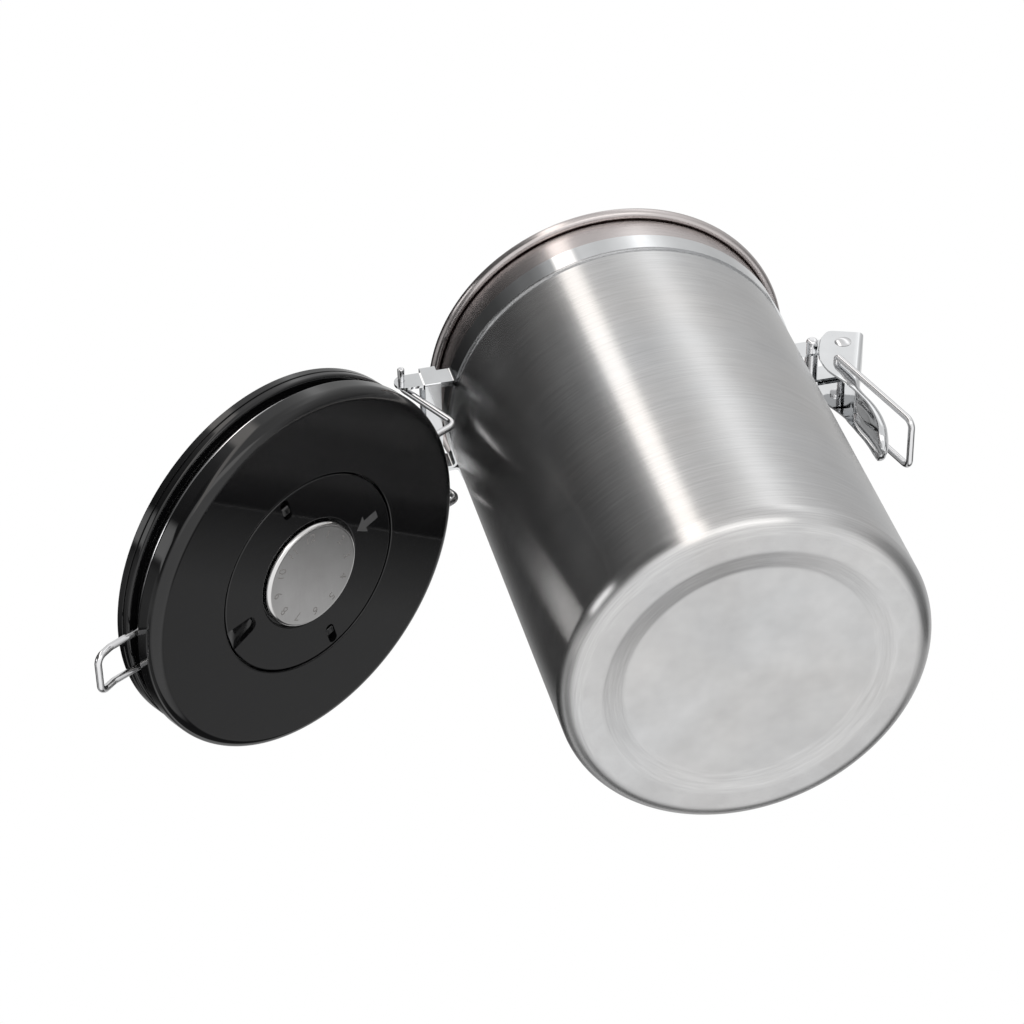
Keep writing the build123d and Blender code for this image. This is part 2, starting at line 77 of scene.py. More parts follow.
# ---------------------------------------------------------------- mesh helpers
def rounded(points, radii, step=8.0):
    """The points with an arc of the given radius at each listed corner; radii is {index: radius}.

    A point close before and after each arc keeps the flats beside it flat in the shading."""
    hold = 0.12
    out = []
    for i, point in enumerate(points):
        here = Vector(point)
        radius = radii.get(i, 0)
        if radius == 0:
            out.append(here)
            continue
        back = Vector(points[i - 1]) - here
        ahead = Vector(points[(i + 1) % len(points)]) - here
        room = (back.length, ahead.length)
        back, ahead = back.normalized(), ahead.normalized()
        opening = back.angle(ahead)
        start = here + back * (radius / math.tan(opening / 2))
        centre = here + (back + ahead).normalized() * (radius / math.sin(opening / 2))
        end = here + ahead * (radius / math.tan(opening / 2))
        turn = math.pi - opening
        count = max(2, math.ceil(math.degrees(turn) / step))
        a, b = start - centre, end - centre
        reach = radius / math.tan(opening / 2) + 5 * hold
        if room[0] > reach:
            out.append(start + back * hold)
        for k in range(count + 1):
            t = turn * k / count
            out.append(centre + (a * math.sin(turn - t) + b * math.sin(t)) / math.sin(turn))
        if room[1] > reach:
            out.append(end + ahead * hold)
    return out


def spread(points, longest):
    """The same run with no stretch longer than the given length."""
    out = [points[0]]
    for a, b in zip(points, points[1:]):
        count = max(1, math.ceil((b - a).length / longest))
        out += [a.lerp(b, k / count) for k in range(1, count + 1)]
    return out


def new_mesh(name, verts, faces, crease=32.0):
    """An object with smooth shading, but sharp where faces meet at more than the crease angle."""
    mesh = bpy.data.meshes.new(name)
    mesh.from_pydata([tuple(v) for v in verts], [], faces)
    mesh.validate()
    mesh.polygons.foreach_set("use_smooth", [True] * len(mesh.polygons))
    mesh.set_sharp_from_angle(angle=math.radians(crease))
    obj = bpy.data.objects.new(name, mesh)
    scene.collection.objects.link(obj)
    return obj


def lathe(name, profile, segments, crease=32.0):
    """A surface of revolution about Z from (radius, z) in millimetres.

    A profile that leaves the axis open is closed into a ring."""
    verts, rows = [], []
    for r, z in profile:
        if r < 1e-4:
            rows.append([len(verts)])
            verts.append((0.0, 0.0, z * MM))
            continue
        rows.append(list(range(len(verts), len(verts) + segments)))
        for s in range(segments):
            a = 2 * math.pi * s / segments
            verts.append((r * math.cos(a) * MM, r * math.sin(a) * MM, z * MM))
    faces = []
    pairs = list(zip(rows, rows[1:]))
    if len(rows[0]) > 1 and len(rows[-1]) > 1:
        pairs.append((rows[-1], rows[0]))
    for low, high in pairs:
        for s in range(segments):
            t = (s + 1) % segments
            if len(low) == 1 and len(high) == 1:
                continue
            elif len(low) == 1:
                faces.append((low[0], high[t], high[s]))
            elif len(high) == 1:
                faces.append((low[s], low[t], high[0]))
            else:
                faces.append((low[s], low[t], high[t], high[s]))
    return new_mesh(name, verts, faces, crease)


def tube(name, path, radius):
    """A round bar along a path, with its ends rounded over by the cap radius."""
    sides, cap = 28, 0.5
    points = [p for i, p in enumerate(path) if i == 0 or (p - path[i - 1]).length > 1e-3]
    tangents = []
    for i in range(len(points)):
        a = points[max(i - 1, 0)]
        b = points[min(i + 1, len(points) - 1)]
        tangents.append((b - a).normalized())
    normal = tangents[0].orthogonal().normalized()
    stations = []
    for i, (p, t) in enumerate(zip(points, tangents)):
        if i:
            turn = tangents[i - 1].rotation_difference(t)
            normal = (turn @ normal).normalized()
        stations.append((p, t, normal.copy(), radius))
    stations = stations[1:-1]
    t0, t1 = tangents[0], tangents[-1]
    n0, n1 = stations[0][2], stations[-1][2]
    head, tail = [], []
    for k in range(5):
        a = math.radians(90 * k / 4)
        along, narrower = cap * (1 - math.cos(a)), radius - cap * (1 - math.sin(a))
        head.append((points[0] + t0 * along, t0, n0, narrower))
        tail.append((points[-1] - t1 * along, t1, n1, narrower))
    rows = head + stations + tail[::-1]
    verts, faces = [], []
    for p, t, n, r in rows:
        side = t.cross(n).normalized()
        for s in range(sides):
            a = 2 * math.pi * s / sides
            verts.append((p + n * (r * math.cos(a)) + side * (r * math.sin(a))) * MM)
    for i in range(len(rows) - 1):
        for s in range(sides):
            t = (s + 1) % sides
            faces.append((i * sides + s, i * sides + t, (i + 1) * sides + t, (i + 1) * sides + s))
    faces.append(tuple(reversed(range(sides))))
    faces.append(tuple(range((len(rows) - 1) * sides, len(rows) * sides)))
    return new_mesh(name, verts, faces)


def arc_xy(centre, radius, start, end, z, step=4.0):
    """Points of a level arc; the angles are in degrees."""
    count = max(2, math.ceil(abs(end - start) / step))
    out = []
    for k in range(count + 1):
        a = math.radians(start + (end - start) * k / count)
        out.append(Vector((centre[0] + radius * math.cos(a), centre[1] + radius * math.sin(a), z)))
    return out


def fit(obj, body, material, slot_name, *nodes, opened=False):
    """Places a piece, gives it its material, and joins it to its body."""
    if opened:
        obj.data.transform(OPENED)
    if obj.data.materials:
        obj.data.materials[0] = material
    else:
        obj.data.materials.append(material)
    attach(obj, body)
    if nodes:
        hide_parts(*nodes)
    return obj


# ---------------------------------------------------------------- material helpers
class Nodes:
    """Short calls for building a node tree."""

    def __init__(self, tree):
        self.tree = tree

    def add(self, kind, **values):
        node = self.tree.nodes.new(kind)
        for key, value in values.items():
            setattr(node, key, value)
        return node

    def put(self, socket, value):
        if isinstance(value, bpy.types.NodeSocket):
            self.tree.links.new(value, socket)
        else:
            socket.default_value = value

    def math(self, operation, a, b=0.0, c=0.0):
        node = self.add("ShaderNodeMath", operation=operation)
        for socket, value in zip(node.inputs, (a, b, c)):
            self.put(socket, value)
        return node.outputs[0]

    def round_ramp(self, around, stops, interpolation="EASE"):
        """A grey level for each direction; stops are (degrees from -180 to 180, level)."""
        node = self.add("ShaderNodeValToRGB")
        ramp = node.color_ramp
        ramp.interpolation = interpolation
        while len(ramp.elements) < len(stops):
            ramp.elements.new(0.5)
        for element, (degrees, level) in zip(ramp.elements, stops):
            element.position = (degrees + 180) / 360
            element.color = (level, level, level, 1)
        self.put(node.inputs[0], around)
        return node.outputs[0]

    def noise(self, vector, scale=1.0, detail=2.0, rough=0.5):
        node = self.add("ShaderNodeTexNoise")
        self.put(node.inputs["Vector"], vector)
        node.inputs["Scale"].default_value = scale
        node.inputs["Detail"].default_value = detail
        node.inputs["Roughness"].default_value = rough
        return node.outputs["Fac"]

    def stretch(self, vector, x, y, z):
        node = self.add("ShaderNodeMapping")
        self.put(node.inputs["Vector"], vector)
        node.inputs["Scale"].default_value = (x, y, z)
        return node.outputs[0]

    def place(self):
        return self.add("ShaderNodeTexCoord").outputs["Object"]

    def mix(self, factor, a, b):
        node = self.add("ShaderNodeMix", data_type="RGBA")
        self.put(node.inputs[0], factor)
        self.put(node.inputs[6], (*a, 1) if isinstance(a, tuple) else a)
        self.put(node.inputs[7], (*b, 1) if isinstance(b, tuple) else b)
        return node.outputs[2]

    def shader_mix(self, factor, first, second):
        """A node that goes from the first shader node to the second."""
        node = self.add("ShaderNodeMixShader")
        self.put(node.inputs[0], factor)
        self.put(node.inputs[1], first.outputs[0])
        self.put(node.inputs[2], second.outputs[0])
        return node

    def span(self, value, low, high):
        """A noise value's usual stretch, 0.25 to 0.75, spread over low to high."""
        node = self.add("ShaderNodeMapRange")
        self.put(node.inputs["Value"], value)
        node.inputs["From Min"].default_value = 0.25
        node.inputs["From Max"].default_value = 0.75
        node.inputs["To Min"].default_value = low
        node.inputs["To Max"].default_value = high
        return node.outputs[0]

    def step(self, value, low, high):
        """0 at low and 1 at high, with a smooth change; low may be the larger one."""
        node = self.add("ShaderNodeMapRange", interpolation_type="SMOOTHSTEP")
        self.put(node.inputs["Value"], value)
        node.inputs["From Min"].default_value = low
        node.inputs["From Max"].default_value = high
        return node.outputs[0]

    def band(self, value, start, full, full_end, end):
        """0 up to start, 1 from full to full_end, and 0 again from end."""
        return self.math("MULTIPLY", self.step(value, start, full), self.step(value, end, full_end))

    def weigh(self, share, a, b):
        """The given share of a and the rest of b."""
        return self.math("MULTIPLY_ADD", a, share, self.math("MULTIPLY", b, 1.0 - share))

    def bump(self, height, strength, distance):
        node = self.add("ShaderNodeBump")
        node.inputs["Strength"].default_value = strength
        node.inputs["Distance"].default_value = distance
        self.put(node.inputs["Height"], height)
        return node.outputs[0]


def material(name):
    """A new material, its node helper and its shader node."""
    mat = bpy.data.materials.new(name)
    mat.use_nodes = True
    nodes = Nodes(mat.node_tree)
    shader = mat.node_tree.nodes["Principled BSDF"]
    return mat, nodes, shader


def brushed_steel():
    """Sheet steel ground round the can, duller inside, with a warm painted reflection above the neck
    band and a lighter colour inside that is painted light.

    A dark line of painted shade marks the crevice where the rolled rim meets the neck."""
    mat, n, shader = material("brushed_steel")
    place = n.place()
    split = n.add("ShaderNodeSeparateXYZ")
    n.put(split.inputs[0], place)
    x, y, height = split.outputs
    wide = n.noise(n.stretch(place, 9, 9, 620))
    streaks = n.noise(n.stretch(place, 34, 34, 2300), detail=3.0, rough=0.62)
    fine = n.noise(n.stretch(place, 90, 90, 9000), rough=0.6)
    cloud = n.noise(place, 21.0, 3.0)
    patches = n.noise(place, 55.0)
    grain = n.weigh(0.10, wide, n.weigh(0.55, streaks, fine))
    tone = n.weigh(0.22, patches, grain)
    inside = n.add("ShaderNodeAttribute", attribute_name="inside").outputs["Fac"]
    outside = n.math("SUBTRACT", 1.0, inside)
    squares = n.math("ADD", n.math("POWER", x, 2.0), n.math("POWER", y, 2.0))
    # painted shade: a near-black line in the crevice where the rolled rim meets the neck
    close_in = n.step(n.math("SQRT", squares), 0.0621, 0.0613)
    crevice_shade = n.math("MULTIPLY", n.band(height, 0.1716, 0.1726, 0.1732, 0.1738), close_in)
    tint = n.mix(n.span(cloud, 0, 1), (0.600, 0.590, 0.582), (0.588, 0.592, 0.598))
    # painted reflection: a warm tint on the steel above the neck band
    tint = n.mix(n.step(height, 0.1600, 0.1625), tint, (0.60, 0.558, 0.55))
    # the crevice's painted shade, on the outside only
    tint = n.mix(n.math("MULTIPLY", crevice_shade, outside), tint, (0.07, 0.05, 0.045))
    # painted light: a lighter steel colour inside the can, against the shade there
    tint = n.mix(inside, tint, (0.74, 0.73, 0.725))
    shade = n.mix(n.span(tone, 0, 1), (0.76, 0.76, 0.76), (1.15, 1.15, 1.15))
    colour = n.add("ShaderNodeMix", data_type="RGBA", blend_type="MULTIPLY")
    colour.inputs[0].default_value = 1.0
    n.put(colour.inputs[6], tint)
    n.put(colour.inputs[7], shade)
    n.put(shader.inputs["Base Color"], colour.outputs[2])
    rough = n.math("MULTIPLY_ADD", inside, 0.20, n.span(tone, 0.19, 0.28))
    n.put(shader.inputs["Roughness"], rough)
    shader.inputs["Metallic"].default_value = 1.0
    shader.inputs["Anisotropic"].default_value = 0.85
    shader.inputs["Anisotropic Rotation"].default_value = 0.25
    tangent = n.add("ShaderNodeTangent", direction_type="RADIAL", axis="Z")
    n.put(shader.inputs["Tangent"], tangent.outputs[0])
    n.put(shader.inputs["Normal"], n.bump(grain, 0.35, 0.00003))
    return mat


def gloss_black():
    """Moulded black plastic, nearly mirror smooth, with wipe marks and dust."""
    mat, n, shader = material("gloss_black")
    place = n.place()
    peel = n.noise(place, 420.0)
    marks = n.noise(n.stretch(place, 60, 900, 60), detail=4.0, rough=0.7)
    dust = n.noise(place, 2600.0, 1.0)
    colour = n.mix(n.span(marks, 0, 1), (0.003, 0.003, 0.0033), (0.005, 0.005, 0.0055))
    n.put(shader.inputs["Base Color"], colour)
    n.put(shader.inputs["Roughness"], n.span(n.weigh(0.5, dust, marks), 0.02, 0.05))
    shader.inputs["IOR"].default_value = 1.5
    n.put(shader.inputs["Normal"], n.bump(peel, 0.05, 0.00001))
    return mat


def satin_black():
    """Moulded black plastic with a fine grain."""
    mat, n, shader = material("satin_black")
    place = n.place()
    grain = n.noise(place, 3200.0)
    cloud = n.noise(place, 60.0)
    colour = n.mix(n.span(cloud, 0, 1), (0.007, 0.007, 0.0075), (0.013, 0.013, 0.0135))
    n.put(shader.inputs["Base Color"], colour)
    n.put(shader.inputs["Roughness"], n.span(grain, 0.26, 0.40))
    n.put(shader.inputs["Normal"], n.bump(grain, 0.25, 0.00003))
    return mat


def chrome(name, tint, low, high, grain):
    """Plated or polished steel with faint polishing marks; low and high are its roughness."""
    mat, n, shader = material(name)
    place = n.place()
    marks = n.noise(n.stretch(place, *grain), detail=3.0, rough=0.6)
    cloud = n.noise(place, 90.0)
    darker = tuple(0.9 * c for c in tint)
    n.put(shader.inputs["Base Color"], n.mix(n.span(cloud, 0, 1), darker, tint))
    n.put(shader.inputs["Roughness"], n.span(marks, low, high))
    shader.inputs["Metallic"].default_value = 1.0
    n.put(shader.inputs["Normal"], n.bump(marks, 0.12, 0.00001))
    return mat


def satin_steel():
    """The month disc's drawn face."""
    mat, n, shader = material("satin_steel")
    place = n.place()
    grain = n.noise(n.stretch(place, 5200, 70, 5200), detail=3.0, rough=0.6)
    cloud = n.noise(place, 70.0, 3.0)
    colour = n.mix(n.span(cloud, 0, 1), (0.66, 0.65, 0.645), (0.75, 0.745, 0.74))
    n.put(shader.inputs["Base Color"], colour)
    n.put(shader.inputs["Roughness"], n.span(grain, 0.06, 0.11))
    shader.inputs["Metallic"].default_value = 1.0
    n.put(shader.inputs["Normal"], n.bump(grain, 0.10, 0.00001))
    return mat


def soft(name, low, high, rough, scale, depth, sheen=0.0):
    """Silicone, felt or print: a coloured surface with a fine relief."""
    mat, n, shader = material(name)
    place = n.place()
    grain = n.noise(place, scale, 4.0, 0.65)
    n.put(shader.inputs["Base Color"], n.mix(n.span(grain, 0, 1), low, high))
    n.put(shader.inputs["Roughness"], n.span(grain, rough - 0.06, rough + 0.06))
    shader.inputs["Sheen Weight"].default_value = sheen
    n.put(shader.inputs["Normal"], n.bump(grain, 0.4, depth))
    return mat


STEEL = brushed_steel()
GLOSS = gloss_black()
SATIN = satin_black()
WIRE = chrome("plated_wire", (0.80, 0.80, 0.81), 0.05, 0.11, (300, 300, 300))
STRAP = chrome("polished_strap", (0.72, 0.73, 0.74), 0.03, 0.08, (60, 60, 2600))
SCREW = chrome("screw_steel", (0.60, 0.59, 0.57), 0.18, 0.30, (900, 900, 900))
DISC = satin_steel()
PRINT = soft("grey_print", (0.055, 0.055, 0.056), (0.075, 0.075, 0.076), 0.5, 900.0, 0.00001)
ETCH = soft("etched_mark", (0.16, 0.152, 0.147), (0.22, 0.21, 0.205), 0.6, 1800.0, 0.00001)
SILICONE = soft("silicone", (0.62, 0.62, 0.60), (0.72, 0.72, 0.70), 0.42, 500.0, 0.00002)
FELT = soft("felt", (0.55, 0.53, 0.48), (0.72, 0.70, 0.65), 0.95, 2600.0, 0.0002, 0.3)


# ---------------------------------------------------------------- can
def can():
    """The drawn can in one surface: base, wall, neck and rolled rim, then the inside.

    Its points inside carry an attribute for the duller finish there and for a lighter colour there
    that is painted light."""
    segments = 360
    bore, neck_bore = CAN_R - SHEET, NECK_R - SHEET
    outside = rounded(
        [(0, BASE_RECESS), (41.2, BASE_RECESS), (48.6, 0.0), (CAN_R, 0.0), (CAN_R, SHOULDER_Z),
         (NECK_R, SHOULDER_Z + 1.2), (NECK_R, 172.9)],
        {1: 7.0, 2: 7.0, 3: 7.2, 4: 1.5, 5: 1.5}, 3,
    )
    curl = []
    for k in range(33):
        a = math.radians(-128 + (180 + 128) * k / 32)
        curl.append(Vector((CURL_AT[0] + CURL_R * math.cos(a), CURL_AT[1] + CURL_R * math.sin(a))))
    inside = rounded(
        [(neck_bore, 174.0), (neck_bore, SHOULDER_Z + 1.4), (bore, SHOULDER_Z + 0.2), (bore, SHEET),
         (48.66, SHEET), (41.26, BASE_RECESS + SHEET), (0, BASE_RECESS + SHEET)],
        {1: 1.5, 2: 1.5, 3: 6.6, 4: 6.4, 5: 7.6}, 8,
    )
    wall = spread(outside, 6.0)
    obj = lathe("can_shell", wall + curl + spread(inside, 8.0), segments, crease=40)
    first = 1 + segments * (len(wall) - 1 + len(curl))
    flags = obj.data.attributes.new("inside", "FLOAT", "POINT")
    count = len(obj.data.vertices)
    flags.data.foreach_set("value", [0.0] * first + [1.0] * (count - first))
    return obj


fit(can(), "canister", STEEL, "brushed_steel", "canister_body")


# ---------------------------------------------------------------- lid
def cover():
    """The lid's upper shell, with the round well that holds the date ring."""
    top, well = LID_TOP, 36.3
    outside = rounded(
        [(well, top), (65.4, top), (65.4, top - 8.6), (60.9, top - 8.6), (60.9, top - 13.4),
         (58.9, top - 13.4)],
        {1: 4.0, 2: 0.9, 3: 0.6, 4: 0.4}, 6,
    )
    lip = rounded([(well, top - 4.0), (well, top), (40.0, top)], {1: 0.35}, 15)
    underside = [
        (58.9, top - 2.2), (37.9, top - 2.2), (37.9, top - 5.6), (16.8, top - 5.6), (16.8, top - 0.55),
        (0, top - 0.55)]
    hub = [(0, top + 1.05), (17.4, top + 1.05), (18.4, top + 0.05), (18.4, top - 4.0)]
    profile = lip[:-1] + spread(outside[1:], 5.0) + underside + hub
    return lathe("lid_cover_shell", profile, 360, crease=35)


fit(cover(), "lid", GLOSS, "black_gloss", "lid_cover", opened=True)


def base():
    """The lid's lower shell: flange, gasket seat and the plug that goes into the mouth."""
    top, low = LID_TOP - 13.4, LID_TOP - 19.0
    flange, skirt, tip = 64.9, 63.9, 170.0
    profile = rounded(
        [(0, SEAT_Z), (55.3, SEAT_Z), (55.3, 173.6), (53.4, tip), (55.5, tip), (57.5, 173.6),
         (57.5, SEAT_Z), (skirt, SEAT_Z), (skirt, low), (flange, low), (flange, 180.1), (64.5, 180.3),
         (64.5, 180.7), (flange, 180.9), (flange, top), (57.9, top), (57.9, 181.0), (0, 181.0)],
        {1: 0.8, 2: 0.8, 3: 0.6, 4: 0.6, 5: 1.5, 9: 0.3, 14: 1.0}, 10,
    )
    return lathe("lid_base_shell", spread(profile, 6.0), 360, crease=38)


fit(base(), "lid", GLOSS, "black_satin", "lid_base", opened=True)


def gasket():
    """The silicone ring under the flange, its lower corners cut off."""
    inner, outer, low, corner = 57.6, 63.6, 176.45, 0.5
    profile = rounded(
        [(inner, SEAT_Z), (inner, low + corner), (inner + corner, low), (outer - corner, low),
         (outer, low + corner), (outer, SEAT_Z)],
        {1: 0.3, 2: 0.3, 3: 0.3, 4: 0.3}, 15,
    )
    return lathe("lid_gasket_ring", profile, 240)


fit(gasket(), "lid", SILICONE, "silicone", "lid_gasket", opened=True)


def disc():
    """The steel cap in the middle of the lid, a shallow cup of thin sheet."""
    rim, under, bore = LID_TOP - 0.7, DISC_TOP - 0.6, DISC_R - 0.5
    profile = rounded(
        [(0, DISC_TOP), (DISC_R, DISC_TOP), (DISC_R, rim), (bore, rim), (bore, under), (0, under)],
        {1: 1.3, 2: 0.2, 3: 0.2, 4: 0.7}, 8,
    )
    return lathe("month_disc_cap", spread(profile, 3.0), 200)


fit(disc(), "lid", DISC, "satin_steel", "month_disc", opened=True)


def numerals():
    """The numbers 1 to 12 round the disc, their tops outwards."""
    figure_height, circle = 4.6, 14.8
    pieces = []
    for number in range(1, 13):
        curve = bpy.data.curves.new("numeral", "FONT")
        curve.body = str(number)
        curve.size = figure_height * MM
        curve.align_x, curve.align_y = "CENTER", "CENTER"
        curve.offset = -0.00004
        curve.extrude = 0.03 * MM
        text = bpy.data.objects.new("numeral", curve)
        mesh = bpy.data.meshes.new_from_object(text)
        bpy.data.objects.remove(text)
        around = math.radians(-90 - 30 * number)
        spot = Vector((circle * math.cos(around), circle * math.sin(around), DISC_TOP)) * MM
        mesh.transform(Matrix.Translation(spot) @ Matrix.Rotation(around - math.pi / 2, 4, "Z"))
        pieces.append(mesh)
    verts, faces = [], []
    for mesh in pieces:
        start = len(verts)
        verts += [v.co.copy() for v in mesh.vertices]
        faces += [tuple(start + i for i in p.vertices) for p in mesh.polygons]
    return new_mesh("month_numerals", verts, faces)


fit(numerals(), "lid", ETCH, "grey_print", opened=True)


def cut(obj, cutters):
    """obj with the closed cutter meshes taken out of it."""
    for cutter in cutters:
        step = obj.modifiers.new("cut", "BOOLEAN")
        step.operation, step.solver, step.object = "DIFFERENCE", "EXACT", cutter
    bpy.context.view_layer.update()
    solved = obj.evaluated_get(bpy.context.evaluated_depsgraph_get())
    mesh = bpy.data.meshes.new_from_object(solved)
    obj.modifiers.clear()
    obj.data = mesh
    for cutter in cutters:
        bpy.data.objects.remove(cutter)
    mesh.polygons.foreach_set("use_smooth", [True] * len(mesh.polygons))
    mesh.set_sharp_from_angle(angle=math.radians(32))
    return obj


def prism(name, outline, low, high):
    """A block over an outline of (x, y), between two heights."""
    count = len(outline)
    verts = [(x * MM, y * MM, low * MM) for x, y in outline]
    verts += [(x * MM, y * MM, high * MM) for x, y in outline]
    faces = [tuple(reversed(range(count))), tuple(range(count, 2 * count))]
    faces += [(i, (i + 1) % count, (i + 1) % count + count, i + count) for i in range(count)]
    return new_mesh(name, verts, faces)


def slot_outline(centre, length, width, steps=10):
    """A round-ended slot along the radius, its middle at (centre, 0)."""
    half, r = length / 2 - width / 2, width / 2
    out = []
    for sign, start in ((1, -90), (-1, 90)):
        for k in range(steps + 1):
            a = math.radians(start + 180 * k / steps)
            out.append((centre + sign * half + r * math.cos(a), r * math.sin(a)))
    return out


def turned_by(obj, degrees):
    """obj turned about the lid's axis."""
    obj.data.transform(Matrix.Rotation(math.radians(degrees), 4, "Z"))
    return obj


def date_ring():
    """The ring round the disc, with a finger notch and two slots cut into it."""
    top, low = LID_TOP - 0.1, LID_TOP - 3.3
    inner, outer = 18.8, 35.7
    profile = rounded(
        [(inner, low), (outer, low), (outer, top), (inner + 1.0, top), (inner + 1.0, top - 0.9),
         (inner, top - 0.9)],
        {1: 0.3, 2: 0.45, 3: 0.45}, 15,
    )
    ring = lathe("date_ring_body", profile, 300, crease=40)
    notch = rounded(
        [Vector((40.0, 6.2)), Vector((34.9, 4.2)), Vector((24.6, 2.7)), Vector((24.6, -2.7)),
         Vector((34.9, -4.3)), Vector((40.0, -4.9))],
        {1: 2.0, 2: 2.65, 3: 2.65, 4: 2.0}, 9,
    )
    cutters = [prism("notch", spread(notch, 1.0), top - 2.6, top + 2.0)]
    for turn in HOOK_TURNS:
        slot = slot_outline(31.0, 8.2, 3.4)
        cutters.append(turned_by(prism("slot", slot, low - 1.0, top + 1.0), turn))
    return turned_by(cut(ring, cutters), RING_TURN)


def notch_floor():
    """The finger notch's scooped floor, rising outwards to the ring's edge."""
    verts, faces = [], []
    rows, cols = 15, 11
    start, length, depth = 24.9, 10.6, 2.3
    for i in range(rows):
        t = i / (rows - 1)
        half = 2.5 + 1.55 * t
        if t <= 0.12:
            half = 2.5 * math.sqrt(max(0.0, 1 - ((0.12 - t) / 0.14) ** 2))
        for j in range(cols):
            u = -1 + 2 * j / (cols - 1)
            dip = depth * (1 - t ** 2.4) * (1 - 0.30 * u * u)
            verts.append(((start + t * length) * MM, u * half * MM, (LID_TOP - 0.35 - dip) * MM))
    for i in range(rows - 1):
        for j in range(cols - 1):
            a = i * cols + j
            faces.append((a, a + cols, a + cols + 1, a + 1))
    return turned_by(new_mesh("ring_notch_floor", verts, faces, 60), RING_TURN)


def snap_hooks():
    """The two spring hooks that show in the ring's slots."""
    side = [(29.5, -3.2), (30.5, -3.2), (31.9, -1.0), (31.2, -0.35), (28.9, -0.25), (28.4, -0.7),
            (29.5, -1.3)]
    outline = rounded([Vector(p) for p in side], {2: 0.35, 3: 0.3, 4: 0.3, 5: 0.25, 6: 0.3}, 30)
    count = len(outline)
    middle = sum(outline, Vector((0, 0))) / count
    slices = ((-1.5, 0.2), (-1.3, 0.0), (1.3, 0.0), (1.5, 0.2))
    verts, faces = [], []
    for turn in HOOK_TURNS:
        spin = Matrix.Rotation(math.radians(turn + RING_TURN), 3, "Z")
        start = len(verts)
        for y, inset in slices:
            for p in outline:
                q = p.lerp(middle, inset)
                verts.append(spin @ Vector((q[0], y, LID_TOP + q[1])) * MM)
        for k in range(len(slices) - 1):
            for i in range(count):
                a, b = start + k * count + i, start + k * count + (i + 1) % count
                faces.append((a, a + count, b + count, b))
        faces.append(tuple(start + i for i in range(count)))
        faces.append(tuple(start + 3 * count + i for i in reversed(range(count))))
    return new_mesh("ring_snap_hooks", verts, faces, 40)


def arrow():
    """The arrow printed on the ring, opposite the notch, a little proud of it."""
    tip, neck, tail = -22.0, -25.8, -31.2
    head, shaft = 3.7, 1.65
    outline = [(tip, 0), (neck, head), (neck, shaft), (tail, shaft), (tail, -shaft), (neck, -shaft),
               (neck, -head)]
    return turned_by(prism("ring_arrow", outline, LID_TOP - 0.2, LID_TOP - 0.07), RING_TURN)


fit(date_ring(), "ring", GLOSS, "black_gloss", "date_ring", opened=True)
fit(arrow(), "ring", PRINT, "grey_print", "date_arrow", opened=True)
fit(notch_floor(), "ring", GLOSS, "black_gloss", opened=True)
fit(snap_hooks(), "ring", GLOSS, "black_gloss", opened=True)


# ---------------------------------------------------------------- lid wire
def lid_wire():
    """One bent wire: pin and leg at the hinge, half the ring and half the front loop, mirrored."""
    ring_r, z, bend = 62.3, LID_TOP - 10.0, 1.8
    leg_y, loop_y = 15.7, 7.0

    def junction(y):
        """Centre and direction of the bend between the ring and a wire at the given y."""
        cy = y + bend
        cx = math.sqrt((ring_r + bend) ** 2 - cy ** 2)
        return cx, cy, math.degrees(math.atan2(cy, cx))

    rear_x, rear_y, rear_a = junction(leg_y)
    front_x, front_y, front_a = junction(loop_y)
    leg = rounded(
        [Vector((HINGE_X, 24.0, HINGE_Z)), Vector((HINGE_X, leg_y, HINGE_Z)),
         Vector((HINGE_X + 1.2, leg_y, z)), Vector((-rear_x, leg_y, z))],
        {1: 1.9, 2: 3.0}, 8,
    )
    half = spread(leg, 4.0)
    half += arc_xy((-rear_x, rear_y), bend, -90, -rear_a, z)[1:]
    half += arc_xy((0, 0), ring_r, 180 - rear_a, front_a, z, 2.0)[1:]
    half += arc_xy((front_x, front_y), bend, 180 + front_a, 270, z)[1:]
    loop = rounded(
        [Vector((front_x, loop_y, z)), Vector((74.6, loop_y, z)), Vector((81.0, loop_y, z + 1.6)),
         Vector((81.0, 0.0, z + 1.6))],
        {1: 5.0, 2: 2.8}, 6,
    )
    half += loop[1:-1]
    mirrored = [Vector((p[0], -p[1], p[2])) for p in reversed(half)]
    return tube("lid_wire_bar", half + mirrored, WIRE_R)


fit(lid_wire(), "lid", WIRE, "polished_wire", "lid_wire", opened=True)


# ---------------------------------------------------------------- latch
def rule(table):
    """A smooth curve through (place, value) pairs that never overshoots them."""
    table = sorted(table)
    runs = [(b[1] - a[1]) / (b[0] - a[0]) for a, b in zip(table, table[1:])]
    slopes = [runs[0]]
    for a, b in zip(runs, runs[1:]):
        slopes.append(0.0 if a * b <= 0 else 2 * a * b / (a + b))
    slopes.append(runs[-1])

    def value(place):
        k = max(0, min(len(table) - 2, sum(1 for t in table[1:-1] if t[0] <= place)))
        (x0, y0), (x1, y1) = table[k], table[k + 1]
        w = x1 - x0
        t = max(0.0, min(1.0, (place - x0) / w))
        return (y0 * (1 + 2 * t) * (1 - t) ** 2 + y1 * t * t * (3 - 2 * t)
                + slopes[k] * w * t * (1 - t) ** 2 - slopes[k + 1] * w * t * t * (1 - t))

    return value


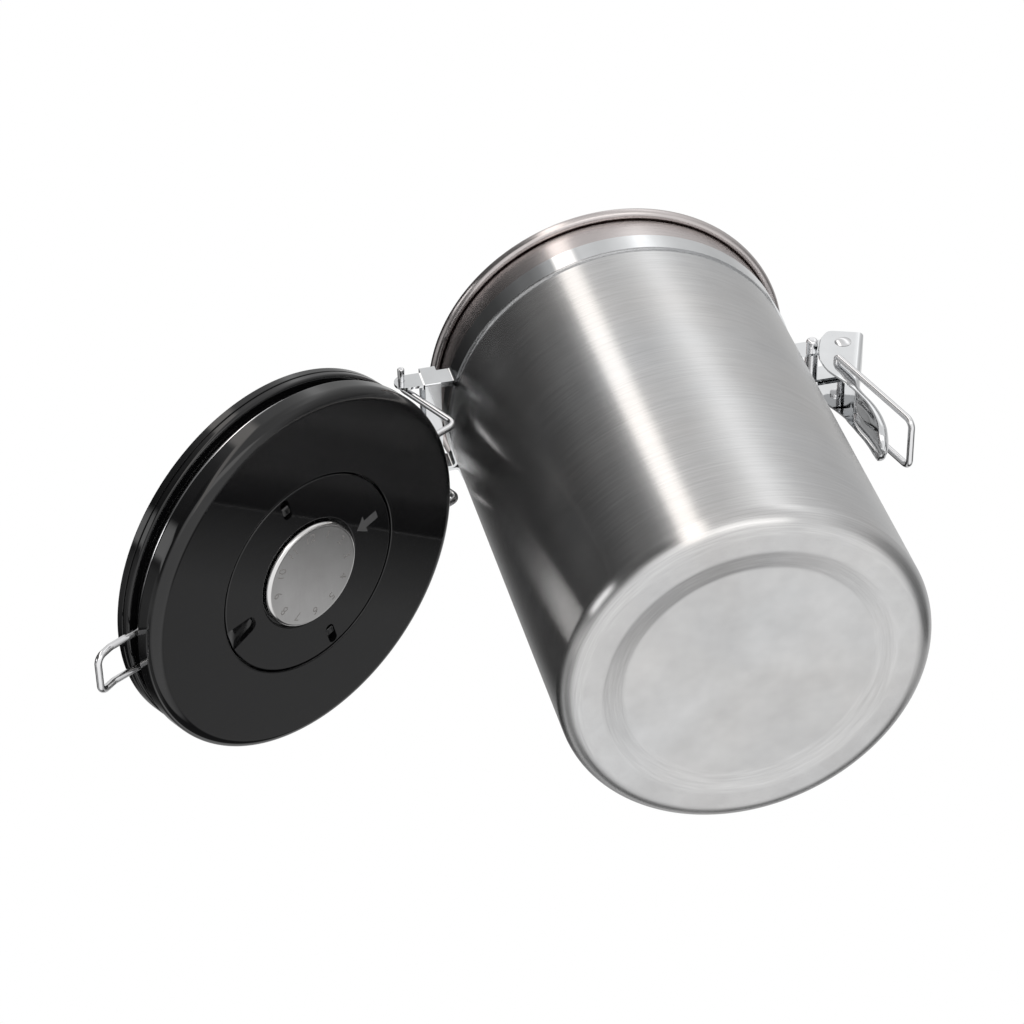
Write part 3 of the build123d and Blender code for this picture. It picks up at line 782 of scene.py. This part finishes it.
def lever_rules():
    """The lever's rules by the distance up from its axle, negative towards the spoon.

    web is how far out the sheet lies, half_width and flange are its half width and its depth,
    corner is the bend's radius, and sheet is half the sheet's thickness."""
    web = rule([(6.3, 6.45), (-22, 6.45), (-26, 6.9), (-31, 9.6), (-37, 13.2), (-43.5, 16.0),
                (-49, 17.4), (-52.0, 17.3), (-53.2, 16.9)])
    half_width = rule([(6.3, 7.05), (-20, 7.05), (-24, 7.3), (-28, 7.8), (-33, 8.1), (-38, 8.2),
                       (-43, 8.0), (-47, 7.3), (-49.8, 6.0), (-51.6, 4.5), (-52.7, 2.9),
                       (-53.2, 1.2)])
    flange = rule([(6.3, 10.0), (6.2, 11.0), (5.9, 11.75), (5.4, 12.4), (4.67, 12.9), (0.2, 14.25),
                   (-4, 14.45), (-10, 14.05), (-14, 12.65), (-17.6, 10.65), (-21, 7.45),
                   (-23.4, 5.2), (-26, 3.5), (-29, 2.9), (-46, 2.8), (-50, 2.4), (-52.4, 1.5),
                   (-53.2, 0.9)])
    corner = rule([(6.3, 1.25), (-24, 1.25), (-31, 2.7), (-46, 2.6), (-50, 2.1), (-52.4, 1.2),
                   (-53.2, 0.7)])
    sheet = rule([(6.3, 0.45), (-50, 0.45), (-53.2, 0.35)])
    return web, half_width, flange, corner, sheet


def lever_section(up, web, half_width, depth, corner):
    """One cross-section of the lever, from one cheek over the web to the other, as (out, y)."""
    pad_up, pad_y, pad_half, pad_height = -32.0, 3.1, 5.4, 1.1
    dish = 0.55 * max(0.0, min(1.0, (-26 - up) / 8))
    flat = half_width - corner
    side = []
    for k in range(12):
        y = flat * k / 12
        far = math.hypot(y / pad_y, (up - pad_up) / pad_half)
        pad = max(0.0, min(1.0, (1.25 - far) / 0.5))
        pad = pad_height * pad * pad * (3 - 2 * pad)
        side.append((web + dish * (1 - (y / flat) ** 2) - pad, y))
    for k in range(9):
        a = math.radians(90 * k / 8)
        side.append((web - corner + corner * math.cos(a), flat + corner * math.sin(a)))
    side += [(web - corner - (depth - corner) * k / 10, half_width) for k in range(1, 11)]
    return [(out, -y) for out, y in reversed(side[1:])] + side


def lever():
    """One stamped sheet: two cheeks and a web that run down into a dished thumb spoon."""
    web, half_width, flange, corner, sheet = lever_rules()
    lip_out = 0.3
    lean_x, lean_z = math.sin(LEVER_TILT), math.cos(LEVER_TILT)
    ups = [6.3, 6.25, 6.1, 5.9, 5.6, 5.1]
    ups += [4.5 - 0.8 * k for k in range(70)]
    ups += [-51.2, -51.8, -52.3, -52.7, -53.0, -53.2]
    grid = []
    for up in ups:
        depth = max(flange(up), corner(up) + 0.05)
        section = lever_section(up, web(up), half_width(up), depth, corner(up))
        x0, z0 = LEVER_PIVOT[0] + up * lean_x, LEVER_PIVOT[1] + up * lean_z
        grid.append([Vector((x0 + out * lean_z, y, z0 - out * lean_x)) for out, y in section])
    rows, cols = len(grid), len(grid[0])
    verts = []
    for sign in (1, -1):
        for i in range(rows):
            thick = sign * sheet(ups[i])
            for j in range(cols):
                along = grid[min(i + 1, rows - 1)][j] - grid[max(i - 1, 0)][j]
                across = grid[i][min(j + 1, cols - 1)] - grid[i][max(j - 1, 0)]
                verts.append((grid[i][j] + thick * along.cross(across).normalized()) * MM)
    faces = []
    back = rows * cols
    for i in range(rows - 1):
        for j in range(cols - 1):
            a = i * cols + j
            faces.append((a, a + cols, a + cols + 1, a + 1))
            faces.append((back + a, back + a + 1, back + a + cols + 1, back + a + cols))
    border = [(0, j) for j in range(cols)]
    border += [(i, cols - 1) for i in range(1, rows)]
    border += [(rows - 1, j) for j in range(cols - 2, -1, -1)]
    border += [(i, 0) for i in range(rows - 2, 0, -1)]
    lip = len(verts)
    for i, j in border:
        inward = grid[max(1, min(rows - 2, i))][max(1, min(cols - 2, j))]
        verts.append((grid[i][j] + lip_out * (grid[i][j] - inward).normalized()) * MM)
    for k, (i, j) in enumerate(border):
        m = (k + 1) % len(border)
        a, b = i * cols + j, border[m][0] * cols + border[m][1]
        faces.append((a, b, lip + m, lip + k))
        faces.append((lip + k, lip + m, back + b, back + a))
    return new_mesh("lever_sheet", verts, faces, 50)


def rivet():
    """The lever's axle, a low dome at each end."""
    face, head, rise, axle = 7.58, 2.95, 0.85, 1.45
    dome = (head * head + rise * rise) / (2 * rise)
    cap = []
    for k in range(9):
        r = head * k / 8
        cap.append((r, face + math.sqrt(dome * dome - r * r) - dome + rise))
    side = [(r, -t) for r, t in cap] + [(axle, -face), (axle, face)]
    obj = lathe("rivet_domes", side + cap[::-1], 64, 40)
    spot = Matrix.Translation(Vector((LEVER_PIVOT[0], 0, LEVER_PIVOT[1])) * MM)
    obj.data.transform(spot @ Matrix.Rotation(math.radians(90), 4, "X"))
    return obj


fit(lever(), "lever", STRAP, "polished_strap", "latch_lever")
fit(rivet(), "canister", WIRE, "polished_wire", "lever_rivet")


# ---------------------------------------------------------------- carried-over pieces
FINISHES = {
    "day_plate": SATIN, "valve_hood": SATIN, "valve_cap": SATIN,
    "valve_flap": SILICONE, "valve_filter": FELT, "lid_screws": SCREW,
    "neck_band_front": STRAP, "neck_band_rear": STRAP, "hinge_bridge": STRAP, "hinge_keeper": STRAP,
    "clamp_pin": WIRE, "clamp_spacer": WIRE, "latch_bail": WIRE,
}
for name, mat in FINISHES.items():
    cad[name].data.materials[0] = mat


# ---------------------------------------------------------------- floor, light, camera
def floor():
    """A pale floor that shows only from above and fades to white far out."""
    half = 12.0
    corners = [(-half, -half, 0), (half, -half, 0), (half, half, 0), (-half, half, 0)]
    mesh = bpy.data.meshes.new("floor")
    mesh.from_pydata(corners, [], [(0, 1, 2, 3)])
    obj = bpy.data.objects.new("floor", mesh)
    scene.collection.objects.link(obj)
    mat, n, shader = material("floor")
    shader.inputs["Base Color"].default_value = (0.86, 0.86, 0.86, 1)
    shader.inputs["Roughness"].default_value = 0.7
    shader.inputs["Specular IOR Level"].default_value = 0.1
    shader.inputs["Emission Color"].default_value = (1, 1, 1, 1)
    shader.inputs["Emission Strength"].default_value = 0.42
    away = n.add("ShaderNodeVectorMath", operation="LENGTH")
    n.put(away.inputs[0], n.place())
    white = n.add("ShaderNodeEmission")
    pale = n.shader_mix(n.step(away.outputs["Value"], 0.35, 1.5), shader, white)
    path = n.add("ShaderNodeLightPath")
    side = n.add("ShaderNodeNewGeometry")
    from_above = n.math("SUBTRACT", 1.0, side.outputs["Backfacing"])
    seen = n.math("MULTIPLY", path.outputs["Is Camera Ray"], from_above)
    clear = n.add("ShaderNodeBsdfTransparent")
    surface = n.shader_mix(seen, clear, pale)
    n.put(mat.node_tree.nodes["Material Output"].inputs["Surface"], surface.outputs[0])
    mesh.materials.append(mat)


def studio():
    """A room of soft light: bright and dark sides round the object, pale below it.

    The camera itself sees plain white. Directions are in degrees about Z, and z is the height of
    a direction, from -1 straight down to 1 straight up."""
    world = bpy.data.worlds.new("studio")
    scene.world = world
    world.use_nodes = True
    n = Nodes(world.node_tree)
    back = world.node_tree.nodes["Background"]
    towards = n.add("ShaderNodeTexCoord").outputs["Generated"]
    split = n.add("ShaderNodeSeparateXYZ")
    n.put(split.inputs[0], towards)
    x, y, z = split.outputs
    around = n.math("MULTIPLY_ADD", n.math("ARCTAN2", y, x), 1 / (2 * math.pi), 0.5)
    upper = n.round_ramp(around, [
        (-180, 0.050), (-170, 0.050), (-160, 0.062), (-152, 0.095), (-145, 0.125), (-139, 0.17),
        (-131, 0.19), (-124, 0.27), (-117, 0.50), (-94, 0.82), (-83, 0.76), (-76, 0.80),
        (-70, 0.90), (-64, 1.06), (-56, 1.45), (-50, 1.38), (-44, 1.08), (-36, 0.88), (-27, 0.76),
        (-14, 0.69), (0, 0.62), (12, 0.59), (26, 0.64), (40, 0.74), (62, 0.66), (86, 0.52),
        (98, 0.34), (108, 0.09), (118, 0.018), (150, 0.018), (166, 0.03), (180, 0.050),
    ], "LINEAR")
    lower = n.round_ramp(around, [
        (-180, 0.50), (-174, 0.26), (-167, 0.10), (-150, 0.08), (-124, 0.10), (-116, 0.30),
        (-96, 0.85), (-70, 0.85), (-45, 0.90), (-20, 0.60), (0, 0.32), (16, 0.22), (28, 0.20),
        (33, 0.10), (39.3, 0.10), (40.0, 0.44), (48, 0.44), (65, 0.58), (85, 0.78), (115, 0.88),
        (140, 0.72), (165, 0.60), (180, 0.50),
    ])
    sides = n.mix(n.step(z, 0.0, 0.35), lower, upper)
    sides = n.mix(n.step(z, -0.42, -0.72), sides, (1.05, 1.05, 1.05))
    # a bright apron below the front, and a dark shelf at the back
    apron = n.round_ramp(around, [
        (-150, 0.0), (-132, 0.35), (-110, 0.55), (-86, 1.0), (-58, 1.0), (-42, 0.0)])
    apron = n.math("MULTIPLY", apron, n.band(z, -0.82, -0.74, -0.56, -0.46))
    sides = n.mix(apron, sides, (2.1, 2.08, 2.06))
    shelf = n.round_ramp(around, [
        (49, 0.0), (58, 1.0), (104, 1.0), (124, 0.75), (156, 0.6), (170, 0.0)])
    shelf = n.math("MULTIPLY", shelf, n.band(z, -0.46, -0.38, -0.06, 0.04))
    sides = n.mix(shelf, sides, (0.05, 0.05, 0.05))
    # a tall strip light beside the camera, and a low patch behind the lid
    strip = n.round_ramp(around, [(-115, 0.0), (-111.5, 1.0), (-102.5, 1.0), (-97, 0.0)])
    strip = n.math("MULTIPLY", strip, n.band(z, -0.84, -0.76, 0.84, 0.92))
    sides = n.mix(strip, sides, (2.15, 2.07, 2.0))
    patch = n.round_ramp(around, [(-174, 0.0), (-170, 1.0), (-157, 1.0), (-153, 0.0)])
    patch = n.math("MULTIPLY", patch, n.band(z, -0.22, -0.17, 0.20, 0.26))
    sides = n.mix(patch, sides, (1.8, 1.8, 1.8))
    light = n.mix(n.step(z, 0.93, 1.0), sides, (0.9, 0.9, 0.9))
    path = n.add("ShaderNodeLightPath")
    n.put(back.inputs["Color"], n.mix(path.outputs["Is Camera Ray"], light, (1.0, 1.0, 1.0)))
    back.inputs["Strength"].default_value = 1.0


def camera():
    """A long lens low in front of the canister, looking up at its base."""
    place = Vector((-263.338, -718.3, -806.497)) * MM
    turn = Euler([math.radians(a) for a in (142.6206, 13.8682, 1.0571)], "XYZ")
    data = bpy.data.cameras.new("camera")
    data.sensor_width = 36.0
    data.lens = 124.1
    data.clip_start, data.clip_end = 0.05, 20
    obj = bpy.data.objects.new("camera", data)
    scene.collection.objects.link(obj)
    obj.matrix_world = Matrix.Translation(place) @ turn.to_matrix().to_4x4()
    scene.camera = obj


floor()
studio()
camera()
scene.view_settings.view_transform = "Standard"
